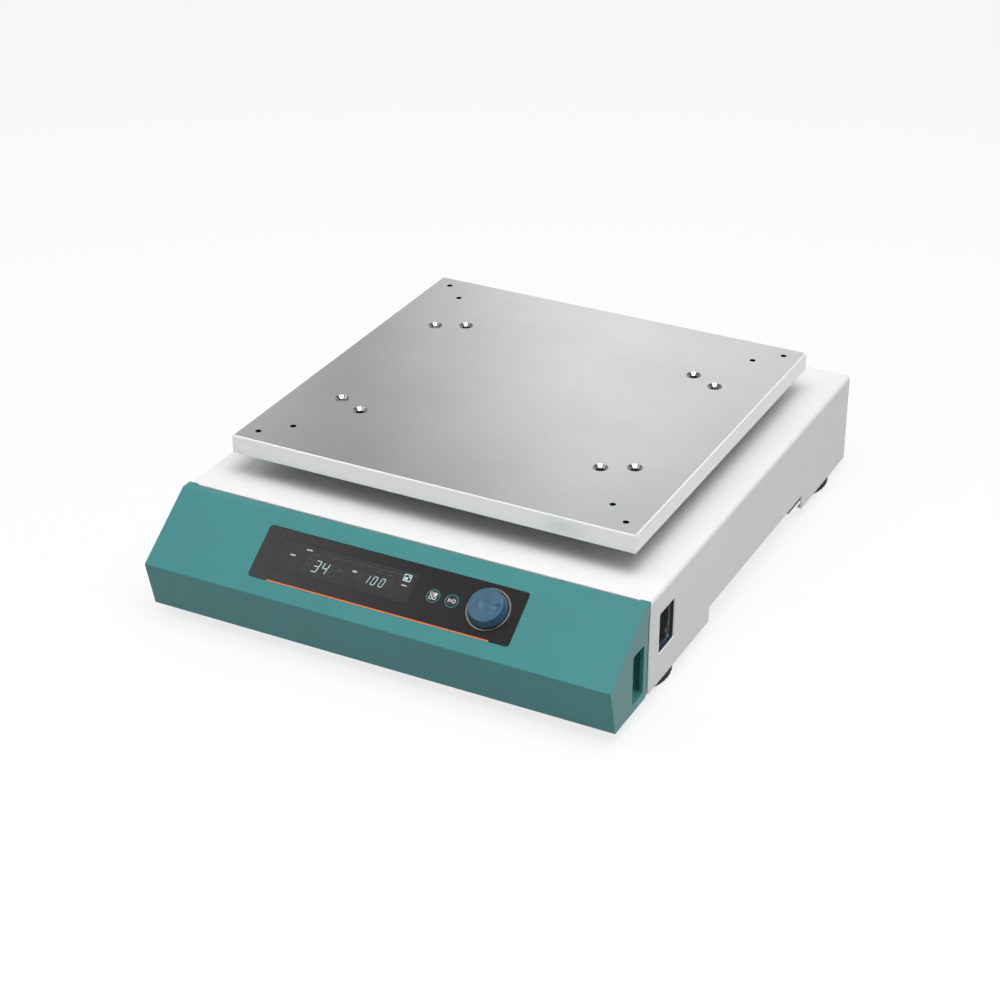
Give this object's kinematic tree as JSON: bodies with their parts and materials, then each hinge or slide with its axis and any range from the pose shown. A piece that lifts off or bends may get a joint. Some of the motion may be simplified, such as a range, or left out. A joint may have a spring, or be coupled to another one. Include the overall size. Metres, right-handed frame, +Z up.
{
  "type": "orbital shaker",
  "caption": "Bench orbital shaker: a square tray platform on crank driven posts above a low folded housing, with a slanted front panel, display, knob and buttons.",
  "frame": {"origin": "middle of the footprint, on the bench under the feet", "axes": "+X to the user's right, +Y to the back, +Z up"},
  "size_m": [0.4, 0.4899, 0.127],
  "materials": {
    "housing_white": "fine textured powder coat",
    "damping_navy": "matt sheet",
    "galvanised": "zinc coated sheet",
    "teal_moulding": "fine grained moulding",
    "platform_metal": "satin anodised",
    "panel_black": "semi gloss film",
    "accent_orange": "printed stripe",
    "display_window": "clear smoked",
    "display_body": "moulded frame",
    "board_green": "solder mask",
    "part_black": "moulded",
    "knob_blue_grey": "soft touch",
    "bright_trim": "polished",
    "steel": "machined",
    "bearing_steel": "ground",
    "cast_alloy": "cast",
    "black_rubber": "matt",
    "zinc_plate": "zinc plated",
    "supply_cage": "perforated sheet",
    "contact_brass": "plated"
  },
  "bodies": {
    "chassis": {"base_pan": "galvanised", "drive_plate": "zinc_plate", "top_cover": "housing_white", "side_liner_left": "damping_navy", "side_liner_right": "damping_navy", "rear_panel": "housing_white", "front_cover": "teal_moulding", "panel_overlay": "panel_black", "accent_strip": "accent_orange", "display_glass": "display_window", "display_module": "display_body", "display_board": "board_green", "encoder_body": "part_black", "button_switches": "part_black", "knob_ring": "bright_trim", "control_board": "board_green", "board_standoffs": "contact_brass", "power_supply": "supply_cage", "main_bearing_housing": "cast_alloy", "idler_bearing_housings": "cast_alloy", "fixed_outer_rings": "bearing_steel", "motor_mount": "zinc_plate", "motor_body": "cast_alloy", "drive_belt": "black_rubber", "mains_inlet": "part_black", "inlet_pins": "contact_brass", "switch_frame": "part_black", "foot_front_left": "black_rubber", "foot_front_right": "black_rubber", "foot_rear_left": "black_rubber", "foot_rear_right": "black_rubber", "m3_screws": "steel", "m4_screws": "steel", "m5_screws": "steel", "cover_screws": "steel"},
    "main_crank": {"main_shaft": "steel", "drive_wheel": "cast_alloy", "eccentric_hub": "steel", "counterweight": "steel", "main_inner_rings": "bearing_steel", "crank_screws": "steel"},
    "idler_front_left": {"idler_crank_front_left": "steel"},
    "idler_front_right": {"idler_crank_front_right": "steel"},
    "idler_rear_left": {"idler_crank_rear_left": "steel"},
    "idler_rear_right": {"idler_crank_rear_right": "steel"},
    "carriage": {"carriage": "cast_alloy", "carriage_outer_rings": "bearing_steel", "platform_posts": "steel", "post_screws": "steel", "platform": "platform_metal", "platform_nuts": "steel"},
    "motor_rotor": {"motor_shaft": "steel", "motor_wheel": "cast_alloy"},
    "encoder_rotor": {"encoder_rotor": "contact_brass"},
    "knob": {"control_knob": "knob_blue_grey", "encoder_shaft": "steel"},
    "menu_button": {"menu_button": "part_black"},
    "start_button": {"start_button": "part_black"},
    "power_rocker": {"power_rocker": "part_black"}
  },
  "joints": [
    {"name": "crank_spin", "type": "hinge", "parent": "chassis", "child": "main_crank", "pos_m": [0, 0.034, 0.05], "axis": [0, 0, 1], "continuous": true},
    {"name": "platform_orbit", "type": "hinge", "parent": "main_crank", "child": "carriage", "pos_m": [0, 0.024, 0.08], "axis": [0, 0, 1], "continuous": true},
    {"name": "idler_front_left_spin", "type": "hinge", "parent": "chassis", "child": "idler_front_left", "pos_m": [-0.125, -0.091, 0.05], "axis": [0, 0, 1], "continuous": true},
    {"name": "idler_front_right_spin", "type": "hinge", "parent": "chassis", "child": "idler_front_right", "pos_m": [0.125, -0.091, 0.05], "axis": [0, 0, 1], "continuous": true},
    {"name": "idler_rear_left_spin", "type": "hinge", "parent": "chassis", "child": "idler_rear_left", "pos_m": [-0.125, 0.159, 0.05], "axis": [0, 0, 1], "continuous": true},
    {"name": "idler_rear_right_spin", "type": "hinge", "parent": "chassis", "child": "idler_rear_right", "pos_m": [0.125, 0.159, 0.05], "axis": [0, 0, 1], "continuous": true},
    {"name": "motor_spin", "type": "hinge", "parent": "chassis", "child": "motor_rotor", "pos_m": [0, 0.15, 0.05], "axis": [0, 0, 1], "continuous": true},
    {"name": "knob_turn", "type": "hinge", "parent": "chassis", "child": "encoder_rotor", "pos_m": [0.0859, -0.21384, 0.07282], "axis": [0, -0.5754, 0.8179], "continuous": true},
    {"name": "knob_push", "type": "slide", "parent": "encoder_rotor", "child": "knob", "axis": [0, 0.5754, -0.8179], "range_m": [0, 0.0006], "stiffness_N_per_m": 3000, "springref_m": -0.0003},
    {"name": "menu_button_press", "type": "slide", "parent": "chassis", "child": "menu_button", "axis": [0, 0.5754, -0.8179], "range_m": [0, 0.0006], "stiffness_N_per_m": 1500, "springref_m": -0.0003},
    {"name": "start_button_press", "type": "slide", "parent": "chassis", "child": "start_button", "axis": [0, 0.5754, -0.8179], "range_m": [0, 0.0006], "stiffness_N_per_m": 1500, "springref_m": -0.0003},
    {"name": "power_rocker_tilt", "type": "hinge", "parent": "chassis", "child": "power_rocker", "pos_m": [0.09, 0.24, 0.05], "axis": [1, 0, 0], "range_deg": [0, 20]}
  ],
  "couplings": [
    {"joint": "crank_spin", "follows": "platform_orbit", "ratio": -1},
    {"joint": "idler_front_left_spin", "follows": "platform_orbit", "ratio": -1},
    {"joint": "idler_front_right_spin", "follows": "platform_orbit", "ratio": -1},
    {"joint": "idler_rear_left_spin", "follows": "platform_orbit", "ratio": -1},
    {"joint": "idler_rear_right_spin", "follows": "platform_orbit", "ratio": -1},
    {"joint": "motor_spin", "follows": "platform_orbit", "ratio": -5}
  ]
}
